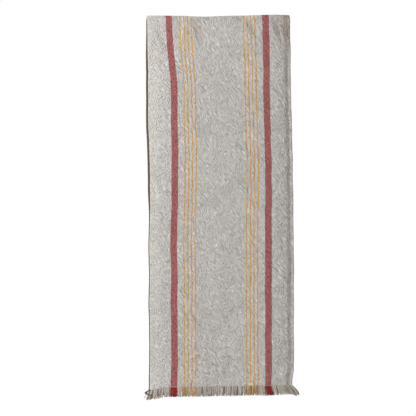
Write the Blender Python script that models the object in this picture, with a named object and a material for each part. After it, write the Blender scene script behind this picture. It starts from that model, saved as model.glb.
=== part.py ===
"""A striped, hemmed cotton table runner with frayed ends, hung over a slim rail by its middle fold.

Metres, +Z up. The origin is the middle of the facet that lies on the rail. X runs across the
cloth, the front half hangs at -Y and the back half at +Y. Left and right are as seen from -Y.
"""

import math

import bmesh
import bpy
from mathutils import Matrix, Vector

# Cloth
RUNNER_WIDTH = 0.3556
RUNNER_LENGTH = 1.8288
CLOTH_THICKNESS = 0.0010
HEM_WIDTH = 0.0100
HEM_STITCH_WIDTH = 0.0010
END_STITCH_HEIGHT = 0.0015

# Middle fold
RAIL_DIAMETER = 0.0080
FOLD_FACETS = 7

# Fringe
FRINGE_LENGTH = 0.0260
FRINGE_TIP_THICKNESS = 0.0024
TUFT_SPREAD = 0.0150
TUFT_CURL = 0.0090

# Stripes, measured in from each long side
RED_STRIPE_CENTRE = 0.0597
RED_STRIPE_WIDTH = 0.0165
OCHRE_LINE_FIRST = 0.0852
OCHRE_LINE_PITCH = 0.0093
OCHRE_LINE_WIDTH = 0.0034
OCHRE_LINE_COUNT = 4

# Clearances
GAP = 0.0003
SWING_CLEARANCE = 0.0001

# What follows from them
FRONT, BACK = -1, 1
RAIL_RADIUS = RAIL_DIAMETER / 2
FACET_ANGLE = math.pi / FOLD_FACETS
FACET_REACH = math.cos(FACET_ANGLE / 2)
FOLD_CENTRE_Z = -RAIL_RADIUS * FACET_REACH
MIDDLE_RADIUS = RAIL_RADIUS + CLOTH_THICKNESS / 2
OUTER_RADIUS = RAIL_RADIUS + CLOTH_THICKNESS
QUARTER_FOLD = MIDDLE_RADIUS * math.pi / 2
UNFOLD_AXIS_Z = FOLD_CENTRE_Z + QUARTER_FOLD
HALF_TOP_Z = FOLD_CENTRE_Z - GAP
END_STITCH_LOW_Z = FOLD_CENTRE_Z - (RUNNER_LENGTH / 2 - QUARTER_FOLD)
END_STITCH_TOP_Z = END_STITCH_LOW_Z + END_STITCH_HEIGHT
CLOTH_LOW_Z = END_STITCH_TOP_Z + GAP
FRINGE_TOP_Z = END_STITCH_LOW_Z - CLOTH_THICKNESS / 2 - SWING_CLEARANCE
HALF_WIDTH = RUNNER_WIDTH / 2


def clear_scene():
    for old in list(bpy.data.objects):
        bpy.data.objects.remove(old, do_unlink=True)


def finish(name, colour, roughness):
    material = bpy.data.materials.new(name)
    material.use_nodes = True
    shader = material.node_tree.nodes["Principled BSDF"]
    shader.inputs["Base Color"].default_value = (*colour, 1.0)
    shader.inputs["Roughness"].default_value = roughness
    shader.inputs["Metallic"].default_value = 0.0
    return material


def pivot(name, place, parent=None):
    """An empty on a joint's axis. What is parented to it turns about it."""
    empty = bpy.data.objects.new(name, None)
    bpy.context.scene.collection.objects.link(empty)
    empty["place"] = place
    empty.location = place
    if parent:
        empty.parent = parent
        empty.matrix_parent_inverse = Matrix.Translation(-Vector(parent["place"]))
    return empty


def piece(name, bm, material, parent=None):
    """Turns a bmesh in world places into a named object, held by its pivot if it moves."""
    bmesh.ops.recalc_face_normals(bm, faces=bm.faces)
    mesh = bpy.data.meshes.new(name)
    bm.to_mesh(mesh)
    bm.free()
    mesh.materials.append(material)
    obj = bpy.data.objects.new(name, mesh)
    bpy.context.scene.collection.objects.link(obj)
    if parent:
        obj.parent = parent
        obj.matrix_parent_inverse = Matrix.Translation(-Vector(parent["place"]))
    return obj


def strip(name, low, high, material, parent=None):
    """A flat strip of cloth or a row of stitching, given by its two opposite corners."""
    bm = bmesh.new()
    bmesh.ops.create_cube(bm, size=1.0)
    low, high = Vector(low), Vector(high)
    bmesh.ops.scale(bm, vec=high - low, verts=bm.verts)
    bmesh.ops.translate(bm, vec=(low + high) / 2, verts=bm.verts)
    return piece(name, bm, material, parent)


def fold(name, first_facet, last_facet, start_gap, material, parent=None):
    """The cloth's turn over the rail, in flat facets. Facet 0 starts at the back half."""
    start = first_facet * FACET_ANGLE + start_gap / RAIL_RADIUS
    bm = bmesh.new()
    corners = [(x, r) for x in (-HALF_WIDTH, HALF_WIDTH) for r in (RAIL_RADIUS, OUTER_RADIUS)]
    angles = [start] + [k * FACET_ANGLE for k in range(first_facet + 1, last_facet + 1)]
    rings = [[bm.verts.new(on_fold(x, r, a)) for x, r in corners] for a in angles]
    order = (0, 1, 3, 2)
    for here, there in zip(rings, rings[1:]):
        for a, b in zip(order, order[1:] + order[:1]):
            bm.faces.new((here[a], here[b], there[b], there[a]))
    for ring in (rings[0], rings[-1]):
        bm.faces.new([ring[k] for k in order])
    return piece(name, bm, material, parent)


def on_fold(x, radius, angle):
    """A point of the fold on the straight line between the two nearest facet corners."""
    whole = min(int(angle / FACET_ANGLE + 1e-9), FOLD_FACETS - 1)
    share = angle / FACET_ANGLE - whole
    ends = [Vector((x, radius * math.cos(k * FACET_ANGLE), radius * math.sin(k * FACET_ANGLE)))
            for k in (whole, whole + 1)]
    return ends[0].lerp(ends[1], share) + Vector((0, 0, FOLD_CENTRE_Z))


def span(side, inner, outer):
    """The lower and upper ends of a stretch between two distances on one side of the middle."""
    return sorted((side * inner, side * outer))


def half_cloth(side, cloth, thread, parent):
    """One hanging half: the cloth, its two turned hems with their stitching, and the end row."""
    label = "front" if side == FRONT else "back"
    near, far = span(side, RAIL_RADIUS, OUTER_RADIUS)
    strip(f"{label}_cloth", (-HALF_WIDTH, near, CLOTH_LOW_Z), (HALF_WIDTH, far, HALF_TOP_Z),
          cloth, parent)
    strip(f"{label}_end_stitch", (-HALF_WIDTH, near, END_STITCH_LOW_Z),
          (HALF_WIDTH, far, END_STITCH_TOP_Z), thread, parent)
    hem_face = RAIL_RADIUS - GAP
    near, far = span(side, hem_face - CLOTH_THICKNESS, hem_face)
    seam_edge = HALF_WIDTH - HEM_WIDTH - GAP
    for hand, flank in ((-1, "left"), (1, "right")):
        hem = span(hand, HALF_WIDTH - HEM_WIDTH, HALF_WIDTH)
        seam = span(hand, seam_edge - HEM_STITCH_WIDTH, seam_edge)
        strip(f"{label}_hem_{flank}", (hem[0], near, CLOTH_LOW_Z), (hem[1], far, HALF_TOP_Z),
              cloth, parent)
        strip(f"{label}_hem_stitch_{flank}", (seam[0], near, CLOTH_LOW_Z),
              (seam[1], far, HALF_TOP_Z), thread, parent)


def fringe_runs():
    """The yarn runs of one flank from its side edge to the middle: name, outer and inner edge."""
    red_edge = RED_STRIPE_CENTRE - RED_STRIPE_WIDTH / 2
    runs = [("tuft_{}", 0.0, HEM_WIDTH), ("natural_{}_1", HEM_WIDTH, red_edge),
            ("red_{}", red_edge, red_edge + RED_STRIPE_WIDTH)]
    for line in range(OCHRE_LINE_COUNT):
        start = OCHRE_LINE_FIRST + line * OCHRE_LINE_PITCH - OCHRE_LINE_WIDTH / 2
        runs.append(("natural_{}_" + str(line + 2), runs[-1][2], start))
        runs.append(("ochre_{}_" + str(line + 1), start, start + OCHRE_LINE_WIDTH))
    return runs


def yarn_run(name, side, outline, material, parent):
    """Hanging yarns as one brush: an outline in X and Z that thickens from its head to its tips."""
    bm = bmesh.new()
    corners = []
    for x, z in outline:
        share = (FRINGE_TOP_Z - z) / FRINGE_LENGTH
        thickness = CLOTH_THICKNESS + share * (FRINGE_TIP_THICKNESS - CLOTH_THICKNESS)
        corners.append(bm.verts.new((x, side * MIDDLE_RADIUS - thickness / 2, z)))
    near = bm.faces.new(corners)
    made = bmesh.ops.extrude_face_region(bm, geom=[near])["geom"]
    for vert in (v for v in made if isinstance(v, bmesh.types.BMVert)):
        vert.co.y = 2 * side * MIDDLE_RADIUS - vert.co.y
    return piece(name, bm, material, parent)


def fringe(side, finishes, parent):
    """All the yarn runs of one end, by colour, with a tuft that spreads out at each corner."""
    label = "front" if side == FRONT else "back"
    low = FRINGE_TOP_Z - FRINGE_LENGTH
    runs = fringe_runs()
    for hand, flank in ((-1, "left"), (1, "right")):
        for pattern, outer, inner in runs:
            name = pattern.format(flank)
            edge = HALF_WIDTH - outer - (GAP / 2 if outer else 0.0)
            root = HALF_WIDTH - inner + GAP / 2
            outline = [(edge, FRINGE_TOP_Z), (root, FRINGE_TOP_Z), (root, low), (edge, low)]
            if not outer:
                outline[3:] = [(edge, low), (edge + TUFT_SPREAD, low + TUFT_CURL),
                               (edge + TUFT_SPREAD, FRINGE_TOP_Z - TUFT_CURL)]
            yarn_run(f"{label}_fringe_{name}", side, [(hand * x, z) for x, z in outline],
                     finishes[name.split("_")[0]], parent)
    reach = HALF_WIDTH - runs[-1][2] - GAP / 2
    yarn_run(f"{label}_fringe_natural_middle", side,
             [(-reach, FRINGE_TOP_Z), (reach, FRINGE_TOP_Z), (reach, low), (-reach, low)],
             finishes["natural"], parent)


def main():
    clear_scene()
    cloth = finish("woven_cotton", (0.50, 0.48, 0.44), 0.90)
    thread = finish("sewing_thread", (0.62, 0.60, 0.56), 0.80)
    natural = finish("natural_yarn", (0.33, 0.29, 0.23), 0.92)
    yarns = {"natural": natural, "tuft": natural,
             "red": finish("red_yarn", (0.27, 0.013, 0.013), 0.90),
             "ochre": finish("ochre_yarn", (0.58, 0.26, 0.025), 0.90)}

    front_half = pivot("front_half_pivot", (0.0, 0.0, UNFOLD_AXIS_Z))
    front_ends = pivot("front_fringe_pivot", (0.0, FRONT * MIDDLE_RADIUS, FRINGE_TOP_Z), front_half)
    back_ends = pivot("back_fringe_pivot", (0.0, BACK * MIDDLE_RADIUS, FRINGE_TOP_Z))

    crest_end = (FOLD_FACETS + 1) // 2
    fold("fold_crest", 0, crest_end, 0.0, cloth)
    fold("fold_front", crest_end, FOLD_FACETS, GAP, cloth, front_half)
    half_cloth(FRONT, cloth, thread, front_half)
    half_cloth(BACK, cloth, thread, None)
    fringe(FRONT, yarns, front_ends)
    fringe(BACK, yarns, back_ends)


main()
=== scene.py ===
"""A striped, stonewashed cotton table runner with frayed ends, hanging folded over a slim rail.

Metres, +Z up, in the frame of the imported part. "Across" runs over the cloth's width, from left to
right as seen from the front. "Along" runs down its length: 0 at the middle fold, negative on the
front half and positive on the back half. Both are measured on the flat cloth.
"""

import math

import bpy
import numpy as np
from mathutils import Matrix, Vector


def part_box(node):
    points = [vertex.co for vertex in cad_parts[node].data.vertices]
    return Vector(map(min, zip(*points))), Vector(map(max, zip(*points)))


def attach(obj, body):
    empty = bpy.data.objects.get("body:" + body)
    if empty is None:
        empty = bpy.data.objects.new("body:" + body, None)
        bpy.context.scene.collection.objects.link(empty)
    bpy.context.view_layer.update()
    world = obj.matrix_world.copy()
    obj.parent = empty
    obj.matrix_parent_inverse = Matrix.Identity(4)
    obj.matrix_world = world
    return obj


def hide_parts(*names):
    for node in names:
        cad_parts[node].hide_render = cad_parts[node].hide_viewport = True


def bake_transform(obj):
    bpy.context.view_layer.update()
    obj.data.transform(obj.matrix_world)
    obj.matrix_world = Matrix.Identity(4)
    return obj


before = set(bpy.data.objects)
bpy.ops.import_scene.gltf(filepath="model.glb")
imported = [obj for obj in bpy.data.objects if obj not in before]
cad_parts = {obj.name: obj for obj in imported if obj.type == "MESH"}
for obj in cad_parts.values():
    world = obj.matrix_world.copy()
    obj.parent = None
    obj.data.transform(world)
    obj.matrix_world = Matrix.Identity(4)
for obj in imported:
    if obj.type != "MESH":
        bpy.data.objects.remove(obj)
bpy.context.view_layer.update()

bl_info = {
    "name": "Striped Table Runner",
    "version": (1, 0, 0),
    "blender": (4, 5, 0),
    "location": "View3D > Sidebar > Table Runner",
    "description": "Builds a hanging cotton table runner with hems, stitching and frayed ends",
    "category": "Add Mesh",
}

MM = 0.001
FRONT, BACK = -1, 1
LEFT, RIGHT = -1, 1
HALVES = ((FRONT, "front"), (BACK, "back"))
FLANKS = ((LEFT, "left"), (RIGHT, "right"))

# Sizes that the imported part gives
CLOTH_LOW, CLOTH_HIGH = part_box("front_cloth")
HALF_WIDTH = CLOTH_HIGH.x
FOLD_RADIUS = -(CLOTH_LOW.y + CLOTH_HIGH.y) / 2
FOLD_CENTRE_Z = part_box("fold_crest")[0].z
QUARTER_FOLD = FOLD_RADIUS * math.pi / 2
DROP = FOLD_CENTRE_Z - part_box("front_end_stitch")[0].z
HALF_LENGTH = DROP + QUARTER_FOLD
HEM_WIDTH = HALF_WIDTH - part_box("front_hem_right")[0].x
SEAM_IN = HALF_WIDTH - sum(corner.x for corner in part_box("front_hem_stitch_right")) / 2
FRINGE_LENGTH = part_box("front_fringe_red_left")[1].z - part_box("front_fringe_red_left")[0].z

# How the hanging cloth lies. A place across is a share of the half width.
SHRINK = 0.983
LAYER_OFFSET = 3.0 * MM
BULGE = 4.6 * MM
LEFT_ROLL = 1.9 * MM
RIGHT_ROLL = 1.8 * MM
LEFT_ROLL_BAND = (-12 * MM, 30 * MM)
RIGHT_ROLL_END = 32 * MM
SEAM_VALLEY_IN = SEAM_IN - 2.4 * MM
SEAM_PINCH, SEAM_PINCH_WIDTH = 1.15 * MM, 2.8 * MM
LEFT_PINCH, LEFT_PINCH_WIDTH = 0.3 * MM, 2.6 * MM
RIM_RISE, RIM_START = 0.5 * MM, -4 * MM
BACK_CURL, BACK_CURL_WIDTH = 3.4 * MM, 7 * MM
LEAST_CURL = 0.25  # share of the curl and of the layers' offset where the layers nearly meet
LEAST_OFFSET = 0.52
OFFSET_DEPTH = 14 * MM
CORNER_PULL, CORNER_PULL_HEIGHT = 3.6 * MM, 35 * MM
SLOW_DRIFT, QUICK_DRIFT = 0.8 * MM, 0.32 * MM
BROAD_WAVE = 0.45 * MM
CLOSEST_TO_MIDDLE = 1.5 * MM
DRIFTS = (  # place across, drift at the top and at the bottom, depths between which it changes
    (-1.00, 0.0, 6.0 * MM, 0.12, 0.52),
    (-0.63, -6.4 * MM, 6.8 * MM, 0.00, 0.23),
    (-0.44, -3.4 * MM, 6.2 * MM, 0.00, 0.26),
    (0.555, -3.2 * MM, 3.5 * MM, 0.00, 0.50),
    (0.664, -1.2 * MM, 5.0 * MM, 0.16, 0.56),
    (1.00, -0.6 * MM, 8.5 * MM, 0.12, 0.64),
)
TOP_SAGS = ((-0.17, 2.4 * MM, 0.27), (0.78, -2.2 * MM, 0.25))  # place, sag, reach
BOTTOM_RISE = 3.9 * MM
BOTTOM_TILT = 3.0 * MM
LOWER_EDGE_WAVE = 0.5 * MM
LEFT_CORNER_SAG, LEFT_CORNER_REACH = 6.0 * MM, 45 * MM
WIDE_OFFSET = (0.0, 0.15, 0.42, 0.52)  # depths between which the layers part and close up again
PUCKER_HEIGHT = 70 * MM  # how far above the ends the small puckers start
CREASE_DEPTH = 2.4 * MM
LONG_CREASES = (  # place across, depth, length, width in mm, lean in degrees, strength
    (0.30, 0.013, 0.022, 2.9, 22, 1.0),
    (0.42, 0.024, 0.046, 2.9, 24, 1.0),
    (0.50, 0.040, 0.040, 2.9, 26, 0.9),
    (0.80, 0.034, 0.040, 2.9, 24, 1.0),
    (0.86, 0.052, 0.050, 2.9, 12, 0.9),
    (0.74, 0.066, 0.040, 2.9, 30, 0.7),
    (-0.28, 0.038, 0.050, 8.0, 8, 0.6),
    (-0.56, 0.034, 0.060, 8.0, 4, 0.5),
    (-0.80, 0.060, 0.050, 2.9, 28, 0.7),
    (0.25, 0.410, 0.034, 2.9, 30, 0.8),
    (-0.05, 0.170, 0.034, 2.9, 50, 0.3),
    (0.30, 0.245, 0.046, 2.9, 48, 0.4),
    (-0.42, 0.215, 0.060, 2.9, 50, 0.4),
    (-0.86, 0.420, 0.060, 2.9, 18, 0.5),
    (0.10, 0.640, 0.060, 2.9, -24, 0.2),
    (0.12, 0.860, 0.060, 2.9, -28, 0.3),
    (-0.30, 0.760, 0.050, 2.9, 44, 0.3),
    (0.84, 0.560, 0.070, 2.9, 10, 0.5),
    (-0.40, 0.700, 0.090, 2.9, 44, 0.4),
    (-0.27, 0.715, 0.075, 2.9, 45, 0.35),
    (-0.50, 0.735, 0.060, 2.9, 42, 0.35),
    (-0.12, 0.735, 0.050, 2.9, 46, 0.3),
    (0.42, 0.690, 0.060, 2.9, 42, 0.35),
    (0.80, 0.765, 0.060, 2.9, 43, 0.45),
)

# Meshes
CELLS_ACROSS = 98
MARGIN = 24 * MM
MARGIN_CELLS = 10
CELLS_ALONG = 488
FOLD_CELLS = 12
LATTICE = 64
TUBE_ASIDE = (0.31, 0.93, 0.19)  # a direction that no thread or yarn runs in

# Stitches
STITCH_CORE = 0.62  # share of a stitch's length that has its full width
STITCH_TIP_SIZE = 0.45
STITCH_PITCH = 1.35  # in stitch lengths
STITCH_DIP = 0.30 * MM
THREAD_HEIGHT = 0.62 * MM
END_ROW_POINTS = 240
END_ROW_UP = 1.2 * MM
END_ROW_WAVE, END_ROW_PITCH = 0.5 * MM, 3.4 * MM
END_ROW_RADIUS = 0.36 * MM

# Fringe. Leans are in radians, to the right. Flares add up: lean, and shares of the half width
# between which it grows.
FLARES = ((0.38, 0.54, 0.66), (0.12, 0.78, 0.88), (0.42, 0.86, 1.0))
LEFT_FLARE = (0.12, 0.8, 1.0)
CORNER_LEANS = {(FRONT, LEFT): -0.55, (FRONT, RIGHT): 0.45,
                (BACK, LEFT): -0.36, (BACK, RIGHT): 0.10}
LOOP_BOW = 14.5 * MM
YARN_POINTS = 9
YARN_SIDES = 5
YARN_TIP_SIZE = 0.85
RIGHT_DROOP = (0.85, 0.86)  # how much of their lean the right corner's tips lose, and from where
STRAND_REACH = 2.9 * MM
STRAND_PITCHES = (3.6 * MM, 8.0 * MM)
CROWDS = {"red": 1.7, "ochre": 1.25, "natural": 1.0}
TUFT_CROWD = 1.7
RED_GATHER = 0.35
LOOP_ROOTS = 4.5 * MM

# Surface detail that is drawn at a set size
THREAD_PITCH = 0.9 * MM
# Painted shade in crease valleys and painted highlight on crease ridges
VALLEY_PAINTED_SHADE = (0.87, 0.84, 0.81)
RIDGE_PAINTED_HIGHLIGHT = (1.09, 1.11, 1.13)
# Painted shade in the long creases, at the right margin under the fold and in a hollow under the
# fold
PAINTED_SHADE_TINT = (0.74, 0.68, 0.63)
CREASE_PAINTED_SHADE = 0.8
HOLLOW_SHADE = 0.42
HOLLOW_PLACE, HOLLOW_REACH = (-0.27 * HALF_WIDTH, 32 * MM), (13 * MM, 30 * MM)  # across, depth
FINE_CREASES = (  # turn in degrees, width, length
    (-46, 2.1 * MM, 12.0 * MM),
    (36, 2.0 * MM, 8.0 * MM),
    (-14, 1.9 * MM, 4.5 * MM),
)
# The second and third take over in patches: patch size, noise from which and to which
CREASE_PATCHES = ((24 * MM, 0.56, 0.61), (32 * MM, 0.50, 0.57))
CREASE_HEIGHT = 6.3 * MM
WEAVE_HEIGHT = 0.10 * MM
WARP_WANDER = 2.4 * MM
STRIPE_FADE = 0.35 * MM
PATCH_SIZE = 60 * MM
PLY_TURN, PLY_HEIGHT = 3.2 * MM, 0.12 * MM
FLAT_MAP = "flat_cloth"
YARN_MAP = "along_yarn"
YARN_TONE_AND_SHADE = "yarn_tone"
CREASE_SHADE = "crease_shade"

# Stage
CAMERA_X, CAMERA_Z = -25 * MM, -DROP / 2 - 17 * MM
LENS, SENSOR_WIDTH = 85.0, 36.0  # in millimetres, as a camera states them
SOFTBOXES = (  # name, place, size, colour
    ("key", (-1.7, -1.25, 0.6), 0.9, (1.0, 0.995, 0.985)),
    ("fill", (1.7, -1.9, -0.3), 1.6, (0.99, 0.995, 1.0)),
    ("back", (1.5, 1.9, 0.5), 1.2, (1.0, 0.995, 0.985)),
)
FLOOR_RADIUS, FLOOR_DEPTH = 1.35, 0.04


# Small helpers

def ease(value, start, stop):
    """0 before start, 1 after stop, and a smooth rise between them."""
    share = np.clip((value - start) / (stop - start), 0.0, 1.0)
    return share * share * (3.0 - 2.0 * share)


def waves(across, along, size_across, size_along, seed):
    """A smooth random surface of about -1 to 1, with bumps of the given sizes."""
    lattice = np.random.default_rng(seed).uniform(-1.0, 1.0, (LATTICE, LATTICE * 4))
    total = 0.0
    column, column_weights = spline_weights(across / size_across)
    row, row_weights = spline_weights(along / size_along)
    for i, wide in enumerate(column_weights):
        for j, long in enumerate(row_weights):
            total = total + wide * long * lattice[(column + i) % LATTICE, (row + j) % (LATTICE * 4)]
    return 2.2 * total


def spline_weights(place):
    """The lattice cell under each place and the four cubic spline weights of its neighbours."""
    cell = np.floor(place).astype(int)
    f = place - cell
    return cell, ((1 - f) ** 3 / 6, (3 * f ** 3 - 6 * f ** 2 + 4) / 6,
                  (-3 * f ** 3 + 3 * f ** 2 + 3 * f + 1) / 6, f ** 3 / 6)


def slanted(across, along, angle, size_across, size_along, seed):
    """Random waves whose ridges lean by an angle from the cloth's length."""
    c, s = math.cos(angle), math.sin(angle)
    return waves(across * c + along * s, along * c - across * s, size_across, size_along, seed)


# The hanging cloth's shape

def drift(across, depth):
    """How far the cloth has moved to the right at a depth, which differs across its width."""
    share = across / HALF_WIDTH
    moved = [high + (low - high) * ease(depth, start, stop) for _, high, low, start, stop in DRIFTS]
    total = moved[0]
    for k in range(len(DRIFTS) - 1):
        total = total + (moved[k + 1] - moved[k]) * ease(share, DRIFTS[k][0], DRIFTS[k + 1][0])
    slow = waves(across, depth, 0.09, 0.045, 11)
    quick = waves(across, depth, 0.05, 0.016, 12)
    corner = CORNER_PULL * ease(depth, DROP - CORNER_PULL_HEIGHT, DROP) * ease(share, 0.5, 1.0)
    return total - corner + (SLOW_DRIFT * slow + QUICK_DRIFT * quick) * ease(depth, 0.0, 0.05)


def sag(across, depth):
    """How far the cloth hangs below its level place."""
    share = across / HALF_WIDTH
    top = sum(amount * np.exp(-((share - place) / reach) ** 2) for place, amount, reach in TOP_SAGS)
    uneven = LOWER_EDGE_WAVE * waves(across, depth, 0.02, 0.1, 21)
    low = -BOTTOM_RISE - BOTTOM_TILT * share + uneven
    low = low + LEFT_CORNER_SAG * (1 - ease(HALF_WIDTH + across, 0.0, LEFT_CORNER_REACH))
    grown = depth / HALF_LENGTH
    return top * (1 - grown) + low * grown


def side_profile(from_left, from_right):
    """The slow roll of the front half's margins and the pinch of its hem seams."""
    left = -LEFT_ROLL * (1 - ease(from_left, *LEFT_ROLL_BAND))
    right = -RIGHT_ROLL * (1 - ease(from_right, 0.6 * SEAM_IN, RIGHT_ROLL_END))
    pinch = -SEAM_PINCH * np.exp(-((from_right - SEAM_VALLEY_IN) / SEAM_PINCH_WIDTH) ** 2)
    rim = RIM_RISE * (1 - ease(from_right, RIM_START, SEAM_VALLEY_IN))
    left_pinch = -LEFT_PINCH * np.exp(-((from_left - SEAM_IN) / LEFT_PINCH_WIDTH) ** 2)
    return left + right + pinch + rim + left_pinch


def crinkle(across, along):
    """The creases of washed cotton: short slanted strokes in patches, and upright puckers."""
    patch = ease(waves(across, along, 0.030, 0.050, 31), -0.5, 0.6)
    strokes = slanted(across, along, math.radians(46), 5.2 * MM, 15 * MM, 32)
    counter = slanted(across, along, math.radians(-24), 5.2 * MM, 16 * MM, 33)
    upright = waves(across, along, 6.0 * MM, 26 * MM, 34)
    fine = 0.12 * strokes * patch + 0.10 * counter * (1 - patch) + 0.06 * upright
    # The end rows draw the cloth into small upright puckers.
    near_end = ease(np.abs(along), DROP - PUCKER_HEIGHT, DROP)
    puckers = 0.45 * waves(across, along, 7.0 * MM, 45 * MM, 36) * near_end
    return MM * (fine + puckers) - long_creases(across, along)


def long_creases(across, along):
    """The depth of the few long creases of the front half, each a valley with soft ends."""
    total = 0.0
    for place, depth, length, width_mm, degrees, strength in LONG_CREASES:
        beside, below = across - place * HALF_WIDTH, -along - depth
        c, s = math.cos(math.radians(degrees)), math.sin(math.radians(degrees))
        off, run = beside * c - below * s, beside * s + below * c
        across_it, along_it = off / (width_mm * MM), 2 * run / length
        total = total + strength * np.exp(-across_it ** 2 - along_it ** 2)
    return CREASE_DEPTH * total


def lift(across, along):
    """How far the cloth stands out from its level place, away from the other half."""
    depth = np.abs(along)
    front = along < 0
    from_left, from_right = HALF_WIDTH + across, HALF_WIDTH - across
    face = np.where(front, side_profile(from_left, from_right), side_profile(from_right, from_left))
    broad = BROAD_WAVE * waves(across, along, 0.05, 0.16, 41)
    rolled = (BULGE + face + broad) * ease(depth, 0.02, 0.16)
    # The back half's left edge curls in, most where it shows beside the front half.
    curl = -BACK_CURL * (1 - ease(from_left, 0.0, BACK_CURL_WIDTH)) * ease(depth, 0.03, 0.09)
    curled = curl * (LEAST_CURL + (1 - LEAST_CURL) * parted(depth))
    # The fold is pulled smoother than the cloth below it.
    smoothed = 0.35 + 0.65 * ease(depth, 0.0, 0.03)
    return rolled + np.where(front, 0.0, curled) + crinkle(across, along) * smoothed


def parted(depth):
    """1 where the two layers' edges lie well apart, 0 where they nearly meet."""
    return ease(depth, *WIDE_OFFSET[:2]) * (1 - ease(depth, *WIDE_OFFSET[2:]))


def hung(across, along, outward=0.0):
    """Where points of the flat cloth are as it hangs, raised from its middle by outward.

    The back half lies a little to the left of the front one, and neither crosses the middle."""
    across, along = np.broadcast_arrays(np.asarray(across, float), np.asarray(along, float))
    depth = np.abs(along)
    turn = np.clip(along / FOLD_RADIUS, -math.pi / 2, math.pi / 2)
    radius = FOLD_RADIUS + lift(across, along) + outward
    straight = np.maximum(depth - QUARTER_FOLD, 0.0)
    side = np.where(along < 0, 1.0, -1.0) * ease(depth, 0.0, OFFSET_DEPTH)
    offset = LAYER_OFFSET * (LEAST_OFFSET + (1 - LEAST_OFFSET) * parted(depth))
    x = across * SHRINK + side * offset + drift(across, depth)
    y = radius * np.sin(turn)
    kept_apart = np.sign(along) * np.maximum(np.abs(y), CLOSEST_TO_MIDDLE)
    y = np.where(straight > 0, kept_apart, y)
    z = FOLD_CENTRE_Z + radius * np.cos(turn) - straight - sag(across, depth)
    return np.stack([x, y, z], axis=-1)


def across_places():
    """Places from the left to the right edge, closer together over both margins."""
    margin = np.linspace(HALF_WIDTH - MARGIN, HALF_WIDTH, MARGIN_CELLS + 1)
    middle_cells = CELLS_ACROSS - 2 * MARGIN_CELLS
    middle = np.linspace(MARGIN - HALF_WIDTH, HALF_WIDTH - MARGIN, middle_cells + 1)
    return np.concatenate([-margin[::-1], middle[1:-1], margin])


def along_places(cells):
    """Places from the front end to the back end, closer together over the fold."""
    fold = np.linspace(-QUARTER_FOLD, QUARTER_FOLD, FOLD_CELLS + 1)
    half = np.linspace(-HALF_LENGTH, -QUARTER_FOLD, cells // 2 + 1)
    return np.concatenate([half[:-1], fold, -half[-2::-1]])


# Objects

def deselect():
    bpy.ops.object.select_all(action="DESELECT")


def as_object(name, points, faces, flat, map_name=FLAT_MAP):
    """A mesh object from points and faces, with its flat coordinates in metres as a UV map."""
    mesh = bpy.data.meshes.new(name)
    mesh.from_pydata([tuple(p) for p in points], [], [tuple(f) for f in faces])
    layer = mesh.uv_layers.new(name=map_name)
    layer.data.foreach_set("uv", np.asarray(flat, np.float32)[face_corners(mesh)].ravel())
    mesh.update()
    obj = bpy.data.objects.new(name, mesh)
    bpy.context.scene.collection.objects.link(obj)
    return obj


def face_corners(mesh):
    """The point at each face corner."""
    corners = np.empty(len(mesh.loops), int)
    mesh.loops.foreach_get("vertex_index", corners)
    return corners


def give_shares(obj, name, shares):
    """Gives each point a share from 0 to 1 that the piece's material reads."""
    layer = obj.data.attributes.new(name, "FLOAT", "POINT")
    layer.data.foreach_set("value", np.asarray(shares, np.float32))


def select_only(obj):
    deselect()
    obj.select_set(True)
    bpy.context.view_layer.objects.active = obj


def finish(obj, material):
    """Turns the faces outward, shades the piece smooth and gives it its material."""
    select_only(obj)
    bpy.ops.object.mode_set(mode="EDIT")
    bpy.ops.mesh.select_all(action="SELECT")
    bpy.ops.mesh.normals_make_consistent(inside=False)
    bpy.ops.object.mode_set(mode="OBJECT")
    bpy.ops.object.shade_smooth()
    obj.data.materials.append(material)


def grid_faces(columns, rows):
    """Quads of a grid whose points run row by row."""
    corner = (np.arange(rows - 1)[:, None] * columns + np.arange(columns - 1)).ravel()
    return np.stack([corner, corner + 1, corner + columns + 1, corner + columns], axis=-1)


def tube(points, radius, sides, first):
    """Vertices, faces, around-and-along coordinates of a closed tube along some points.

    Its faces count from first, so that several tubes can share one mesh."""
    runs = np.gradient(points, axis=0)
    runs /= np.linalg.norm(runs, axis=1)[:, None]
    aside = np.cross(runs, TUBE_ASIDE)
    aside /= np.linalg.norm(aside, axis=1)[:, None]
    other = np.cross(runs, aside)
    angles = np.arange(sides) * 2 * math.pi / sides
    spokes = aside[:, None] * np.cos(angles)[:, None] + other[:, None] * np.sin(angles)[:, None]
    rings = points[:, None] + spokes * np.asarray(radius).reshape(-1, 1, 1)
    length = np.concatenate([[0], np.cumsum(np.linalg.norm(np.diff(points, axis=0), axis=1))])
    flat = np.stack(np.broadcast_arrays(angles / (2 * math.pi), length[:, None]), axis=-1)
    faces = []
    for ring in range(len(points) - 1):
        for k in range(sides):
            a, b = first + ring * sides + k, first + ring * sides + (k + 1) % sides
            faces.append((a, b, b + sides, a + sides))
    faces.append(tuple(first + k for k in reversed(range(sides))))
    last = first + (len(points) - 1) * sides
    faces.append(tuple(last + k for k in range(sides)))
    return rings.reshape(-1, 3), faces, flat.reshape(-1, 2)


# Materials

def linear(hex_colour):
    """An sRGB hex colour as linear red, green and blue with full alpha."""
    channels = [int(hex_colour[k:k + 2], 16) / 255 for k in (1, 3, 5)]
    return (*[c / 12.92 if c <= 0.04045 else ((c + 0.055) / 1.055) ** 2.4 for c in channels], 1.0)


def add(tree, kind, inputs=None, **settings):
    """Adds a shader node, sets its properties, and fills inputs with values or links."""
    node = tree.nodes.new("ShaderNode" + kind)
    for name, value in settings.items():
        setattr(node, name, value)
    for socket, value in (inputs or {}).items():
        if isinstance(value, bpy.types.NodeSocket):
            tree.links.new(value, node.inputs[socket])
        else:
            node.inputs[socket].default_value = value
    return node


def calc(tree, operation, *values, **settings):
    """The result of a calculation with values or links."""
    return add(tree, "Math", dict(enumerate(values)), operation=operation, **settings).outputs[0]


def colour_between(tree, share, first, second):
    """A first colour that turns into a second one as the share grows."""
    return add(tree, "Mix", {0: share, 6: first, 7: second}, data_type="RGBA").outputs[2]


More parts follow.
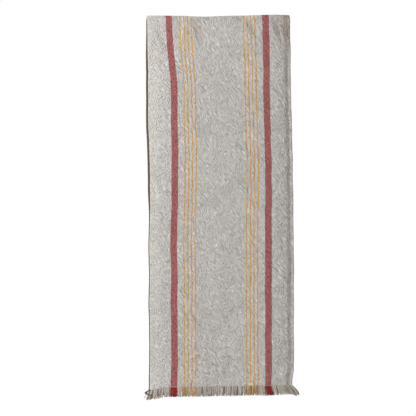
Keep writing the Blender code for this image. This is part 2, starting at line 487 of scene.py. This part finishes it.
def new_material(name, roughness, sheen):
    """A material with its shader, ready for a colour and a bump."""
    material = bpy.data.materials.new(name)
    material.use_nodes = True
    tree = material.node_tree
    shader = tree.nodes["Principled BSDF"]
    shader.inputs["Roughness"].default_value = roughness
    shader.inputs["Specular IOR Level"].default_value = 0.15
    shader.inputs["Sheen Weight"].default_value = sheen
    shader.inputs["Sheen Roughness"].default_value = 0.6
    return material, tree, shader


def stripe_stops(colours):
    """Where each warp colour starts and ends, as shares of the half width from the middle out.

    The warp between the ochre lines is bleached."""
    ground = linear(colours.natural)
    stops = [(0.0, ground)]
    fade = STRIPE_FADE / HALF_WIDTH
    names = [f"front_fringe_ochre_right_{k}" for k in (4, 3, 2, 1)] + ["front_fringe_red_right"]
    for name in names:
        low, high = (corner.x / HALF_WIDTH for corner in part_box(name))
        shade = linear(colours.red if "red" in name else colours.ochre)
        inside = "ochre" in name and "_1" not in name
        between = linear(colours.bleached if inside else colours.natural)
        stops += [(low - fade, stops[-1][1]), (low + fade, shade), (high - fade, shade),
                  (high + fade, between)]
    return stops


def woven_cotton(colours):
    """Stonewashed plain-weave cotton: pale slubbed ground, coloured warp broken by a light weft."""
    material, tree, shader = new_material("stonewashed_woven_cotton", 0.92, 0.12)
    flat = add(tree, "UVMap", uv_map=FLAT_MAP).outputs["UV"]
    split = add(tree, "SeparateXYZ", {0: flat})
    over = plain_weave(tree, split)
    warp = warp_colour(tree, flat, split.outputs["X"], colours)
    cloth = colour_between(tree, weft_share(tree, flat, over), warp, linear(colours.weft))
    creases = crease_height(tree, flat)
    patch = add(tree, "TexNoise", {"Vector": flat, "Scale": 1 / PATCH_SIZE, "Detail": 1.0})
    # The cloth gets painted highlight and painted shade here, besides its lighter and darker
    # patches.
    washed = washed_colour_and_painted_light(tree, cloth, creases, patch.outputs["Fac"])
    seam_shaded = seam_painted_shade(tree, split.outputs["X"], washed, patch.outputs["Fac"], colours)
    tree.links.new(seam_shaded, shader.inputs["Base Color"])
    rough = add(tree, "Bump", {"Height": creases, "Distance": CREASE_HEIGHT, "Strength": 1.0})
    weave = add(tree, "Bump", {"Height": over, "Distance": WEAVE_HEIGHT, "Strength": 1.0,
                               "Normal": rough.outputs[0]})
    tree.links.new(weave.outputs[0], shader.inputs["Normal"])
    return material


def warp_colour(tree, flat, across, colours):
    """The striped warp. It wanders a little, so no stripe edge is dead straight."""
    wander = add(tree, "TexNoise", {"Vector": flat, "Scale": 1 / 0.03, "Detail": 2.0})
    shift = calc(tree, "SUBTRACT", wander.outputs["Fac"], 0.5)
    moved = calc(tree, "MULTIPLY_ADD", shift, WARP_WANDER, across)
    share = calc(tree, "DIVIDE", calc(tree, "ABSOLUTE", moved), HALF_WIDTH)
    ramp = add(tree, "ValToRGB", {0: share})
    stops = stripe_stops(colours)
    elements = ramp.color_ramp.elements
    elements[1].position = 1.0
    elements[1].color = linear(colours.natural)
    elements[0].color = stops[0][1]
    for place, colour in stops[1:]:
        elements.new(place).color = colour
    return ramp.outputs[0]


def plain_weave(tree, split):
    """Warp over and under weft at the thread spacing: -1 to 1, high where the warp is on top."""
    crests = []
    for axis in ("X", "Y"):
        angle = calc(tree, "MULTIPLY", split.outputs[axis], math.pi / THREAD_PITCH)
        crests.append(calc(tree, "SINE", angle))
    return calc(tree, "MULTIPLY", *crests)


def weft_share(tree, flat, over):
    """How much light weft shows over the warp, more in slubs 5 mm long and 1.6 mm high."""
    place = add(tree, "Mapping", {"Vector": flat, "Scale": (1 / (5 * MM), 1 / (1.6 * MM), 1)})
    slub = add(tree, "TexNoise", {"Vector": place.outputs[0], "Scale": 1.0, "Detail": 2.0})
    slubbed = add(tree, "MapRange", {0: slub.outputs["Fac"], 1: 0.32, 2: 0.68, 3: 0.0, 4: 0.30})
    return calc(tree, "MULTIPLY_ADD", over, -0.12, slubbed.outputs[0], use_clamp=True)


def washed_colour_and_painted_light(tree, cloth, creases, patch):
    """Painted highlight on crease ridges, painted shade in crease valleys and folds, and soft
    lighter and darker patches.
    """
    crease_painted_light = add(tree, "MapRange", {0: creases, 1: 0.32, 2: 0.68})
    painted_shade = add(tree, "Attribute", attribute_name=CREASE_SHADE).outputs["Fac"]
    for share, low, high in ((crease_painted_light.outputs[0], VALLEY_PAINTED_SHADE, RIDGE_PAINTED_HIGHLIGHT),
                             (painted_shade, (1.0, 1.0, 1.0), PAINTED_SHADE_TINT)):
        tint = add(tree, "Mix", {0: share, 4: low, 5: high}, data_type="VECTOR")
        cloth = add(tree, "VectorMath", {0: cloth, 1: tint.outputs[1]},
                    operation="MULTIPLY").outputs[0]
    tone = add(tree, "MapRange", {0: patch, 1: 0.3, 2: 0.7, 3: 0.97, 4: 1.03})
    return add(tree, "VectorMath", {0: cloth, "Scale": tone.outputs[0]},
               operation="SCALE").outputs[0]


def seam_painted_shade(tree, across, cloth, patch, colours):
    """A painted brownish shade along the groove of the right seam, uneven along its length."""
    apart = calc(tree, "ABSOLUTE", calc(tree, "SUBTRACT", across, HALF_WIDTH - SEAM_IN))
    near = add(tree, "MapRange", {0: apart, 1: 1.5 * MM, 2: 9 * MM, 3: 0.8, 4: 0.0},
               interpolation_type="SMOOTHSTEP")
    uneven = calc(tree, "MULTIPLY", near.outputs[0], patch)
    return colour_between(tree, uneven, cloth, linear(colours.seam))


def crease_height(tree, flat):
    """Creases about 2 mm wide: slanted strokes, with crossing ones and grain in patches."""
    heights = []
    for degrees, width, length in FINE_CREASES:
        turned = add(tree, "Mapping", {"Vector": flat, "Rotation": (0, 0, math.radians(degrees))})
        drawn = add(tree, "Mapping", {"Vector": turned.outputs[0], "Location": (degrees, 0, 0),
                                      "Scale": (1 / width, 1 / length, 1)})
        noise = add(tree, "TexNoise", {"Vector": drawn.outputs[0], "Scale": 1.0, "Detail": 0.5})
        heights.append(noise.outputs["Fac"])
    mixed = heights[0]
    for height, (size, low, high) in zip(heights[1:], CREASE_PATCHES):
        patch = add(tree, "TexNoise", {"Vector": flat, "Scale": 1 / size, "Detail": 1.0})
        amount = add(tree, "MapRange", {0: patch.outputs["Fac"], 1: low, 2: high})
        mixed = add(tree, "Mix", {0: amount.outputs[0], 2: mixed, 3: height}).outputs[0]
    # The left margin lies smoothest, and the creases deepen towards the right one.
    across = add(tree, "SeparateXYZ", {0: flat}).outputs["X"]
    left = add(tree, "MapRange", {0: across, 1: -HALF_WIDTH, 2: -0.70 * HALF_WIDTH,
                                  3: 0.55, 4: 1.0})
    right = add(tree, "MapRange", {0: across, 1: 0.6 * HALF_WIDTH, 2: HALF_WIDTH,
                                   3: 1.0, 4: 1.3})
    depth = calc(tree, "MULTIPLY", left.outputs[0], right.outputs[0])
    return calc(tree, "MULTIPLY_ADD", calc(tree, "SUBTRACT", mixed, 0.5), depth, 0.5)


def hem_cotton_painted_shade(colours):
    """The hem's turned-in side of the same cotton, browner and duller: its dark brown is painted
    shade for the gap between the two layers.
    """
    material, tree, shader = new_material("turned_hem_cotton", 0.95, 0.05)
    flat = add(tree, "UVMap", uv_map=FLAT_MAP).outputs["UV"]
    drawn = add(tree, "Mapping", {"Vector": flat, "Scale": (1 / (2 * MM), 1 / (5 * MM), 1)})
    grain = add(tree, "TexNoise", {"Vector": drawn.outputs[0], "Scale": 1.0, "Detail": 2.0})
    share = add(tree, "MapRange", {0: grain.outputs["Fac"], 1: 0.3, 2: 0.7})
    # Painted shade: the hem is coloured between two dark browns.
    tint = colour_between(tree, share.outputs[0], linear(colours.hem_painted_shade), linear(colours.hem))
    tree.links.new(tint, shader.inputs["Base Color"])
    bump = add(tree, "Bump", {"Height": grain.outputs["Fac"], "Distance": 0.5 * MM})
    tree.links.new(bump.outputs[0], shader.inputs["Normal"])
    return material


def twisted_yarn(name, dark, light):
    """Loosely twisted cotton yarn: tone changes from yarn to yarn, partly at random and partly as
    painted light and shade across each strand, fine slanted ply lines.
    """
    material, tree, shader = new_material(name, 0.95, 0.15)
    tone = add(tree, "Attribute", attribute_name=YARN_TONE_AND_SHADE).outputs["Fac"]
    place = add(tree, "UVMap", uv_map=YARN_MAP).outputs["UV"]
    split = add(tree, "SeparateXYZ", {0: place})
    turns = calc(tree, "MULTIPLY_ADD", split.outputs["Y"], 1 / PLY_TURN, split.outputs["X"])
    ply = calc(tree, "SINE", calc(tree, "MULTIPLY", turns, 4 * math.pi))
    mixed = calc(tree, "MULTIPLY_ADD", ply, 0.10, tone, use_clamp=True)
    tint = colour_between(tree, mixed, linear(dark), linear(light))
    tree.links.new(tint, shader.inputs["Base Color"])
    bump = add(tree, "Bump", {"Height": ply, "Distance": PLY_HEIGHT})
    tree.links.new(bump.outputs[0], shader.inputs["Normal"])
    return material


def found_or_made(name, make, *arguments):
    """The material of that name, made the first time that it is asked for."""
    return bpy.data.materials.get(name) or make(*arguments)


def yarn_material(colour, colours):
    """The twisted yarn of one warp colour, or the sewing thread."""
    dark, light = {
        "natural": (colours.yarn_dark, colours.yarn_light),
        "red": (colours.red_dark, colours.red_light),
        "ochre": (colours.ochre_dark, colours.ochre),
        "thread": (colours.thread_shade, colours.thread),
    }[colour]
    name = "cotton_sewing_thread" if colour == "thread" else f"twisted_{colour}_cotton_yarn"
    return found_or_made(name, twisted_yarn, name, dark, light)


# Sizes and colours that a user would change

def colour_setting(name, description, default):
    return bpy.props.StringProperty(name=name, description=description, default=default)


def length_setting(name, description, default, least, most):
    return bpy.props.FloatProperty(name=name, description=description, default=default,
                                   min=least, max=most, precision=4, unit="LENGTH")


def light_setting(name, description, default):
    return bpy.props.FloatProperty(name=name, description=description, default=default, min=0.0)


class RunnerClothSettings(bpy.types.PropertyGroup):
    """The cloth and its hems."""

    thickness: length_setting("Cloth thickness", "Thickness of one layer of cloth",
                              0.9 * MM, 0.3 * MM, 2 * MM)
    stitch_length: length_setting("Stitch length", "Length of one hem stitch",
                                  3.0 * MM, 1.5 * MM, 8 * MM)
    stitch_width: length_setting("Thread width", "Width of the sewing thread",
                                 0.7 * MM, 0.3 * MM, 1.5 * MM)


class RunnerFringeSettings(bpy.types.PropertyGroup):
    """The frayed ends."""

    yarn_width: length_setting("Yarn width", "Width of one loose yarn",
                               1.35 * MM, 0.4 * MM, 3 * MM)
    yarn_pitch: length_setting("Yarn spacing", "Distance between the roots of neighbouring yarns",
                               0.62 * MM, 0.4 * MM, 4 * MM)
    gather: bpy.props.FloatProperty(
        name="Gather", description="How far yarns lean to the middle of their strand",
        default=0.15, min=0.0, max=1.0, subtype="FACTOR")


class RunnerColourSettings(bpy.types.PropertyGroup):
    """Colours as sRGB hex values."""

    natural: colour_setting("Natural warp", "Ground colour of the warp", "#BEBBB6")
    weft: colour_setting("Weft", "Off-white weft that crosses every stripe", "#CDCAC8")
    bleached: colour_setting("Bleached warp", "Cooler white between the ochre lines", "#BFBFBE")
    red: colour_setting("Red warp", "The two wide stripes", "#942A26")
    ochre: colour_setting("Ochre warp", "The eight narrow lines", "#CF961B")
    # The seam colour is painted shade, for the groove beside the right seam.
    seam: colour_setting("Seam", "Brownish line along the right hem seam", "#8A7C70")
    # The two hem colours are dark painted shade, for the strip of the back layer's hem that shows
    # in the gap beside the front layer.
    hem: colour_setting("Hem", "Turned-in side of the hem", "#7A6A5D")
    hem_painted_shade: colour_setting("Hem shade", "Darker grain of the hem", "#4E3F35")
    # The dark yarn colours also give the painted shade beside each strand's middle and in the left
    # corner's loop.
    yarn_light: colour_setting("Light fringe yarn", "Lightest loose natural yarn", "#CBC5BB")
    yarn_dark: colour_setting("Dark fringe yarn", "Darkest loose natural yarn", "#5C4C3E")
    red_dark: colour_setting("Dark red yarn", "Darkest loose red yarn", "#550B0B")
    red_light: colour_setting("Light red yarn", "Lightest loose red yarn", "#A0241F")
    ochre_dark: colour_setting("Dark ochre yarn", "Darkest loose ochre yarn", "#A8741F")
    thread: colour_setting("Sewing thread", "Thread of the hems and end rows", "#D6D1C8")
    thread_shade: colour_setting("Thread shade", "Darker ply of the sewing thread", "#A9A297")


class RunnerStageSettings(bpy.types.PropertyGroup):
    """Camera, floor and lights."""

    camera_distance: length_setting("Camera distance", "Distance from the camera to the cloth",
                                    2.408, 0.5, 10.0)
    floor_drop: length_setting("Floor depth", "How far the floor is below the fold",
                               1.3, 0.95, 3.0)
    key_power: light_setting("Key light", "Power of the main softbox", 69.0)
    fill_power: light_setting("Fill light", "Power of the fill softbox", 9.0)
    back_power: light_setting("Back light", "Power of the softbox behind the cloth", 52.0)
    ambient: light_setting("Ambient", "Strength of the light from all round", 0.295)


# Operators

class RUNNER_OT_cloth(bpy.types.Operator):
    """Make the woven cloth, whole from end to end, hanging over its fold"""

    bl_idname = "table_runner.cloth"
    bl_label = "Make Cloth"

    def execute(self, context):
        scene = context.scene
        across = across_places()
        along = along_places(CELLS_ALONG)
        flat_across, flat_along = np.meshgrid(across, along)
        points = hung(flat_across, flat_along).reshape(-1, 3)
        flat = np.stack([flat_across.ravel(), flat_along.ravel()], axis=-1)
        cloth = as_object("runner_cloth", points, grid_faces(len(across), len(along)), flat)
        select_only(cloth)
        layer = cloth.modifiers.new("Thickness", "SOLIDIFY")
        layer.thickness = scene.runner_cloth.thickness
        layer.offset = 0.0
        bpy.ops.object.modifier_apply(modifier=layer.name)
        finish(cloth, found_or_made("stonewashed_woven_cotton", woven_cotton, scene.runner_colours))
        give_shares(cloth, CREASE_SHADE, painted_shade_share(*flat_places(cloth).T))
        bend_at_fold(cloth)
        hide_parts("front_cloth", "back_cloth", "fold_front", "fold_crest")
        return {"FINISHED"}


def flat_places(cloth):
    """Each point's place (across, along) on the flat cloth, read back from its flat map."""
    mesh = cloth.data
    found = np.empty(2 * len(mesh.loops), np.float32)
    mesh.uv_layers[FLAT_MAP].data.foreach_get("uv", found)
    places = np.zeros((len(mesh.vertices), 2))
    places[face_corners(mesh)] = found.reshape(-1, 2)
    return places


def painted_shade_share(across, along):
    """How much painted shade the cloth gets: in the long creases and under the fold."""
    depth = -along
    creased = long_creases(across, along) / CREASE_DEPTH
    patchy = 0.6 + 0.4 * waves(across, along, 0.010, 0.018, 52)
    # The right margin under the fold is darkened as painted shade.
    margin = ease(across, 0.70 * HALF_WIDTH, 0.86 * HALF_WIDTH) * (1 - ease(depth, 0.03, 0.13))
    # A soft shade lies under the fold beside the left ochre lines.
    hollow = HOLLOW_SHADE * np.exp(-((across - HOLLOW_PLACE[0]) / HOLLOW_REACH[0]) ** 2
                                   - ((depth - HOLLOW_PLACE[1]) / HOLLOW_REACH[1]) ** 2)
    shade = np.where(depth > 0, margin * patchy + hollow, 0.0)
    return np.clip(CREASE_PAINTED_SHADE * creased + shade, 0.0, 1.0)


def bend_at_fold(piece):
    """Bakes the piece's placement into its points."""
    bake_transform(piece)


class RUNNER_OT_hems(bpy.types.Operator):
    """Make the turned side hems, which run over the fold on the cloth's inner side"""

    bl_idname = "table_runner.hems"
    bl_label = "Make Hems"

    def execute(self, context):
        material = found_or_made("turned_hem_cotton", hem_cotton_painted_shade, context.scene.runner_colours)
        along = along_places(CELLS_ALONG // 2)
        section = hem_section(context.scene.runner_cloth.thickness)
        distances = np.array([distance for distance, _ in section])
        flat = np.stack(np.broadcast_arrays(distances[None, :], along[:, None]), axis=-1)
        for hand, flank in FLANKS:
            rings = [hung(hand * (HALF_WIDTH - distance), along, height)
                     for distance, height in section]
            points = np.stack(rings, axis=1).reshape(-1, 3)
            hem = as_object(f"side_hem_{flank}", points, loft_faces(len(section), len(along)),
                            flat.reshape(-1, 2))
            finish(hem, material)
            bend_at_fold(hem)
            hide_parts(f"front_hem_{flank}", f"back_hem_{flank}")
        return {"FINISHED"}


def hem_section(thickness):
    """The hem's outline: distance in from the cloth's edge, and height above the cloth's middle."""
    under = -thickness / 2
    return [(HEM_WIDTH, under - 0.1 * MM), (HEM_WIDTH / 2, under - 0.05 * MM),
            (0.8 * MM, under + 0.1 * MM), (0.2 * MM, under + 0.25 * MM),
            (-0.15 * MM, under - 0.1 * MM), (-0.2 * MM, 2 * under),
            (0.3 * MM, 3 * under), (HEM_WIDTH / 2, 3 * under - 0.1 * MM),
            (HEM_WIDTH, 3 * under)]


def loft_faces(count, rings):
    """Faces of a closed loft over rings of so many points, with its two ends capped."""
    faces = [(r * count + k, r * count + (k + 1) % count,
              (r + 1) * count + (k + 1) % count, (r + 1) * count + k)
             for r in range(rings - 1) for k in range(count)]
    last = (rings - 1) * count
    return faces + [tuple(range(count)), tuple(last + k for k in range(count))]


def one_stitch(length, width):
    """Points and faces of one stitch along X, thick in its middle and drawn in at both ends."""
    deselect()
    bpy.ops.mesh.primitive_cylinder_add(vertices=6, radius=width / 2,
                                        depth=length * STITCH_CORE, rotation=(0, math.pi / 2, 0))
    stitch = bpy.context.object
    bpy.ops.object.transform_apply(location=True, rotation=True, scale=True)
    tip = length * (1 - STITCH_CORE) / 2
    for end in (-1, 1):
        bpy.ops.object.mode_set(mode="EDIT")
        bpy.ops.mesh.select_all(action="DESELECT")
        bpy.ops.object.mode_set(mode="OBJECT")
        for face in stitch.data.polygons:
            face.select = face.normal.x * end > 0.9
        bpy.ops.object.mode_set(mode="EDIT")
        bpy.ops.mesh.select_mode(type="FACE")
        bpy.ops.mesh.extrude_region_move(TRANSFORM_OT_translate={"value": (end * tip, 0, 0)})
        bpy.ops.transform.resize(value=(1, STITCH_TIP_SIZE, STITCH_TIP_SIZE))
        bpy.ops.object.mode_set(mode="OBJECT")
    # Extruding gives them in an order that changes from run to run, so both are sorted.
    points = np.array([v.co for v in stitch.data.vertices])
    order = np.lexsort(points.T.round(7))
    rank = np.argsort(order)
    faces = sorted(tuple(rank[list(face.vertices)].tolist()) for face in stitch.data.polygons)
    bpy.data.objects.remove(stitch)
    return points[order], faces


def stitch_row(name, starts, length, width, material):
    """A row of copied stitches. Each start is a place (across, along) on the flat cloth."""
    shape, shape_faces = one_stitch(length, width)
    points, faces, flat = [], [], []
    height = THREAD_HEIGHT + shape[:, 2] - STITCH_DIP * (2 * shape[:, 0] / length) ** 2
    for k, (across, along) in enumerate(starts):
        points.append(hung(across + shape[:, 1], along + shape[:, 0], height))
        faces += [tuple(len(shape) * k + v for v in face) for face in shape_faces]
        flat.append(np.stack([shape[:, 1] / width, shape[:, 0]], axis=-1))
    row = as_object(name, np.concatenate(points), faces, np.concatenate(flat), YARN_MAP)
    tones = np.random.default_rng(len(name)).uniform(0.3, 1.0, len(starts))
    give_shares(row, YARN_TONE_AND_SHADE, np.repeat(tones, len(shape)))
    finish(row, material)
    return row


class RUNNER_OT_hem_stitches(bpy.types.Operator):
    """Make the rows of sewing thread that hold the side hems"""

    bl_idname = "table_runner.hem_stitches"
    bl_label = "Make Hem Stitches"

    def execute(self, context):
        settings = context.scene.runner_cloth
        thread = yarn_material("thread", context.scene.runner_colours)
        pitch = settings.stitch_length * STITCH_PITCH
        depths = np.arange(2.5 * pitch, HALF_LENGTH - pitch, pitch)
        for side, half in HALVES:
            for hand, flank in FLANKS:
                starts = [(hand * (HALF_WIDTH - SEAM_IN), side * depth) for depth in depths]
                row = stitch_row(f"{half}_hem_thread_{flank}", starts, settings.stitch_length,
                                 settings.stitch_width, thread)
                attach(row, f"{half}_half")
                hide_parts(f"{half}_hem_stitch_{flank}")
        return {"FINISHED"}


class RUNNER_OT_end_stitches(bpy.types.Operator):
    """Make the row of thread that stops each end from fraying further"""

    bl_idname = "table_runner.end_stitches"
    bl_label = "Make End Stitches"

    def execute(self, context):
        thread = yarn_material("thread", context.scene.runner_colours)
        places = np.linspace(-HALF_WIDTH, HALF_WIDTH, END_ROW_POINTS)
        overcast = END_ROW_WAVE * np.sin(places * 2 * math.pi / END_ROW_PITCH)
        for side, half in HALVES:
            points = hung(places, side * (HALF_LENGTH - END_ROW_UP) + overcast, THREAD_HEIGHT)
            vertices, faces, flat = tube(points, np.full(len(places), END_ROW_RADIUS), 6, 0)
            row = as_object(f"{half}_end_thread", vertices, faces, flat, YARN_MAP)
            give_shares(row, YARN_TONE_AND_SHADE, np.full(len(vertices), 0.5))
            finish(row, thread)
            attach(row, f"{half}_half")
            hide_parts(f"{half}_end_stitch")
        return {"FINISHED"}


def strands(side):
    """Where the loose yarns gather into strands, at uneven distances: place, lean and tone."""
    random = np.random.default_rng(71 + side)
    places = -HALF_WIDTH + np.cumsum(random.uniform(*STRAND_PITCHES, 120))
    places = places[places < HALF_WIDTH]
    leans = random.normal(0, 0.045, len(places))
    return np.stack([places, leans, random.beta(2, 2, len(places))], axis=-1)


def flare(root):
    """How far the yarns lean towards the right corner, in radians."""
    share = root / HALF_WIDTH
    right = sum(lean * ease(share, start, stop) for lean, start, stop in FLARES)
    return right - LEFT_FLARE[0] * ease(-share, *LEFT_FLARE[1:])


def yarn_path(root, middle, side, length, lean, gather, random, loop):
    """A loose yarn's points from just inside the cloth's end to its tip, or back in a loop."""
    share = np.linspace(0.0, 1.0, YARN_POINTS)
    start = hung(root, side * (HALF_LENGTH - 1.0 * MM))
    pull = (middle - root) * gather * random.uniform(0.7, 1.15) + random.normal(0, 0.7 * MM)
    bow = random.normal(0, 0.5 * MM) * np.sin(share * math.pi * random.uniform(0.8, 2.2))
    # The yarns of the right corner stand out and then hang down again.
    droop = RIGHT_DROOP[0] * ease(root, RIGHT_DROOP[1] * HALF_WIDTH, HALF_WIDTH)
    angle = lean * share ** 0.3 * (1 - droop * share ** 2)
    down = np.cumsum(np.cos(angle)) * length / len(share)
    aside = np.cumsum(np.sin(angle)) * length / len(share)
    looped = loop * np.sin(share * math.pi)
    x = start[0] + pull * ease(share, 0.0, 0.7) + bow + aside - aside[0] - looped
    y = start[1] + side * (0.5 + random.uniform(-1.0, 1.6) * share) * MM * share
    z = start[2] - (down - down[0])
    return np.stack([x, y, z], axis=-1)


class RUNNER_OT_fringe(bpy.types.Operator):
    """Make the loose warp yarns of both frayed ends, one piece for each run of one colour"""

    bl_idname = "table_runner.fringe"
    bl_label = "Make Fringe"

    def execute(self, context):
        for side, half in HALVES:
            all_strands = strands(side)
            prefix = f"{half}_fringe_"
            nodes = sorted(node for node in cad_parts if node.startswith(prefix))
            for number, node in enumerate(nodes):
                random = np.random.default_rng(100 + number + 50 * (side + 1))
                self.make_run(context, side, half, node, all_strands, random)
        return {"FINISHED"}

    def make_run(self, context, side, half, node, all_strands, random):
        settings = context.scene.runner_fringe
        colour = "red" if "red" in node else "ochre" if "ochre" in node else "natural"
        tuft = "tuft" in node
        low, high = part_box(node)
        left, right = max(low.x, -HALF_WIDTH), min(high.x, HALF_WIDTH)
        crowd = TUFT_CROWD if tuft else CROWDS[colour]
        count = max(3, round((right - left) / settings.yarn_pitch * crowd))
        places = (np.arange(count) + 0.5 + random.uniform(-0.3, 0.3, count)) / count
        taper = settings.yarn_width / 2 * np.linspace(1.0, YARN_TIP_SIZE, YARN_POINTS)
        points, faces, flat, tones = [], [], [], []
        total = 0
        for root in left + places * (right - left):
            path, tone = self.yarn(root, side, colour, tuft, all_strands, settings.gather, random)
            made, quads, place = tube(path, taper, YARN_SIDES, total)
            total += len(made)
            points.append(made)
            faces += quads
            flat.append(place)
            tones.append(np.full(len(made), min(max(tone, 0.0), 1.0)))
        run = as_object(f"{node}_yarns", np.concatenate(points), faces, np.concatenate(flat),
                        YARN_MAP)
        give_shares(run, YARN_TONE_AND_SHADE, np.concatenate(tones))
        finish(run, yarn_material(colour, context.scene.runner_colours))
        root_z = min(hung(root, side * HALF_LENGTH)[2] for root in (left, right))
        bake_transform(run)
        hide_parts(node)

    def yarn(self, root, side, colour, tuft, all_strands, gather, random):
        """One yarn's path and tone. The tone is partly random and partly painted light and shade:
        lighter in the middle of its strand and darker beside it.
        """
        nearest = np.argmin(np.abs(all_strands[:, 0] - root))
        middle, strand_lean, strand_tone = all_strands[nearest]
        lean = flare(root) + random.normal(0, 0.06)
        length = FRINGE_LENGTH * (random.uniform(0.95, 1.06) + 0.12 * flare(root))
        # Painted light and shade: yarns in the strand's middle are lighter, those at its sides
        # darker.
        painted_strand_light = 1 - min(abs(root - middle) / STRAND_REACH, 1.0)
        tone = -0.02 + 0.72 * painted_strand_light + 0.25 * strand_tone + 0.26 * (random.random() - 0.5)
        loop = 0.0
        if tuft:
            lean += self.corner_lean(root, side, random)
            gather = 0.0
            if root > 0:
                length *= 1.15
            elif side == BACK:
                length *= 1.2
                tone += 0.3
            elif root < LOOP_ROOTS - HALF_WIDTH:
                # The front left corner's outermost yarns curl back in a loop, coloured darkest as
                # painted shade.
                length, lean, tone = 0.6 * length, 0.1, 0.0
                loop = LOOP_BOW * random.uniform(0.75, 1.0)
        elif colour == "red":
            gather = RED_GATHER * gather
        else:
            lean += strand_lean
        return yarn_path(root, middle, side, length, lean, gather, random, loop), tone

    def corner_lean(self, root, side, random):
        """How much further a corner yarn leans out than its neighbours, in radians."""
        share = (abs(root) - (HALF_WIDTH - HEM_WIDTH)) / HEM_WIDTH
        most = CORNER_LEANS[(side, RIGHT if root > 0 else LEFT)]
        return most * (0.2 + 0.8 * share) * random.uniform(0.4, 1.15)


class RUNNER_OT_stage(bpy.types.Operator):
    """Make the camera, the softboxes, the world and the plain floor"""

    bl_idname = "table_runner.stage"
    bl_label = "Make Stage"

    def execute(self, context):
        scene = context.scene
        stage = scene.runner_stage
        self.camera(scene, Vector((CAMERA_X, -stage.camera_distance, CAMERA_Z)))
        for name, place, size, colour in SOFTBOXES:
            power = getattr(stage, f"{name}_power")
            self.softbox(f"{name}_softbox", place, size, power, colour)
        self.world(scene, stage.ambient)
        self.floor(stage.floor_drop)
        scene.view_settings.view_transform = "Standard"
        return {"FINISHED"}

    def camera(self, scene, place):
        deselect()
        bpy.ops.object.camera_add(location=place, rotation=(math.pi / 2, 0, 0))
        camera = bpy.context.object
        camera.name = "front_camera"
        camera.data.lens = LENS
        camera.data.sensor_width = SENSOR_WIDTH
        scene.camera = camera

    def softbox(self, name, place, size, power, colour):
        aim = Vector((0, 0, -DROP / 2)) - Vector(place)
        bpy.ops.object.light_add(type="AREA", location=place,
                                 rotation=aim.to_track_quat("-Z", "Y").to_euler())
        light = bpy.context.object
        light.name = name
        light.data.shape = "DISK"
        light.data.size = size
        light.data.energy = power
        light.data.color = colour

    def world(self, scene, strength):
        world = bpy.data.worlds.new("studio")
        scene.world = world
        world.use_nodes = True
        tree = world.node_tree
        seen = add(tree, "Background", {"Color": (1, 1, 1, 1), "Strength": 1.0})
        lit = add(tree, "Background", {"Color": (0.97, 0.985, 1, 1), "Strength": strength})
        ray = add(tree, "LightPath")
        mix = add(tree, "MixShader", {0: ray.outputs["Is Camera Ray"], 1: lit.outputs[0],
                                      2: seen.outputs[0]})
        tree.links.new(mix.outputs[0], tree.nodes["World Output"].inputs["Surface"])

    def floor(self, drop):
        deselect()
        bpy.ops.mesh.primitive_cylinder_add(vertices=96, radius=FLOOR_RADIUS, depth=FLOOR_DEPTH,
                                            location=(0, 0, -drop - FLOOR_DEPTH / 2))
        floor = bpy.context.object
        floor.name = "studio_floor"
        material, tree, shader = new_material("matt_painted_floor", 0.9, 0.0)
        place = add(tree, "TexCoord").outputs["Object"]
        speck = add(tree, "TexNoise", {"Vector": place, "Scale": 6.0})
        tint = colour_between(tree, speck.outputs["Fac"], linear("#F1F1EF"), linear("#F6F6F5"))
        tree.links.new(tint, shader.inputs["Base Color"])
        floor.data.materials.append(material)


STEPS = (RUNNER_OT_cloth, RUNNER_OT_hems, RUNNER_OT_hem_stitches, RUNNER_OT_end_stitches,
         RUNNER_OT_fringe, RUNNER_OT_stage)
SETTINGS = (("runner_cloth", RunnerClothSettings), ("runner_fringe", RunnerFringeSettings),
            ("runner_colours", RunnerColourSettings), ("runner_stage", RunnerStageSettings))


class RUNNER_PT_panel(bpy.types.Panel):
    """The settings and the steps, in the order in which they are made"""

    bl_idname = "RUNNER_PT_panel"
    bl_label = "Table Runner"
    bl_space_type = "VIEW_3D"
    bl_region_type = "UI"
    bl_category = "Table Runner"

    def draw(self, context):
        for attribute, group in SETTINGS:
            box = self.layout.box()
            for name in group.__annotations__:
                box.prop(getattr(context.scene, attribute), name)
        for step in STEPS:
            self.layout.operator(step.bl_idname)


def register():
    for group in (entry[1] for entry in SETTINGS):
        bpy.utils.register_class(group)
    for attribute, group in SETTINGS:
        setattr(bpy.types.Scene, attribute, bpy.props.PointerProperty(type=group))
    for step in STEPS:
        bpy.utils.register_class(step)
    bpy.utils.register_class(RUNNER_PT_panel)


def unregister():
    bpy.utils.unregister_class(RUNNER_PT_panel)
    for step in reversed(STEPS):
        bpy.utils.unregister_class(step)
    for attribute, group in reversed(SETTINGS):
        delattr(bpy.types.Scene, attribute)
        bpy.utils.unregister_class(group)


def main():
    register()
    bpy.ops.table_runner.cloth()
    bpy.ops.table_runner.hems()
    bpy.ops.table_runner.hem_stitches()
    bpy.ops.table_runner.end_stitches()
    bpy.ops.table_runner.fringe()
    bpy.ops.table_runner.stage()


if __name__ == "__main__":
    main()
